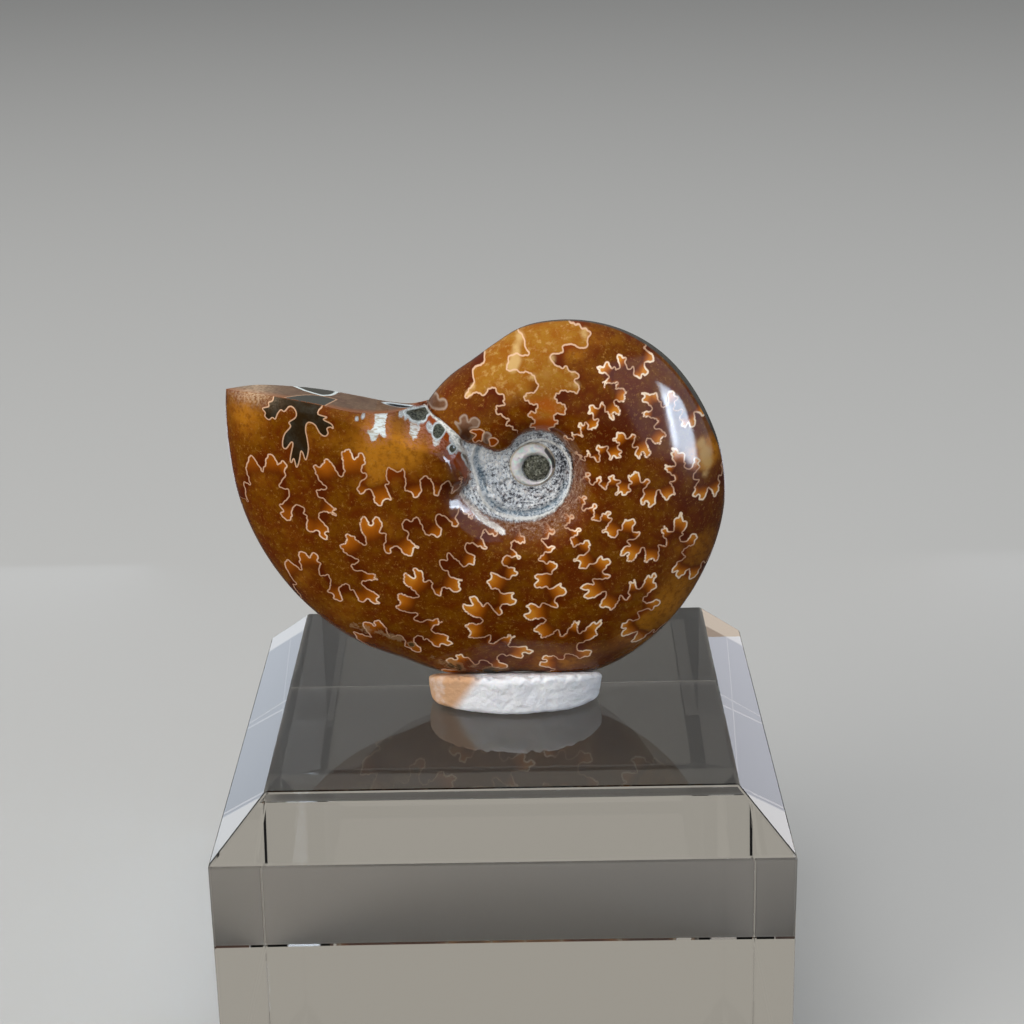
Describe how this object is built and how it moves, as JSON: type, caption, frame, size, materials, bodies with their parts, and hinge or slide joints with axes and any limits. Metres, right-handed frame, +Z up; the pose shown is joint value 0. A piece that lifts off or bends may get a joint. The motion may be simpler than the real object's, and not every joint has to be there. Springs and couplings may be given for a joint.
{
  "type": "ammonite fossil half",
  "caption": "Cut and polished half of an ammonite fossil with frilled suture lines, held upright by a pad of white putty on a clear square block with bevelled top edges.",
  "frame": {"origin": "middle of the block's underside", "axes": "+Z up, +X to the right as the domed flank is faced, +Y from the domed flank towards the flat cut face"},
  "size_m": [0.0508, 0.0508, 0.0678],
  "materials": {
    "fossil_stone": "polished",
    "white_putty": "matte",
    "clear_acrylic": "polished"
  },
  "bodies": {
    "root": {"ammonite_half": "fossil_stone", "putty_pad": "white_putty", "display_block": "clear_acrylic"}
  },
  "joints": []
}
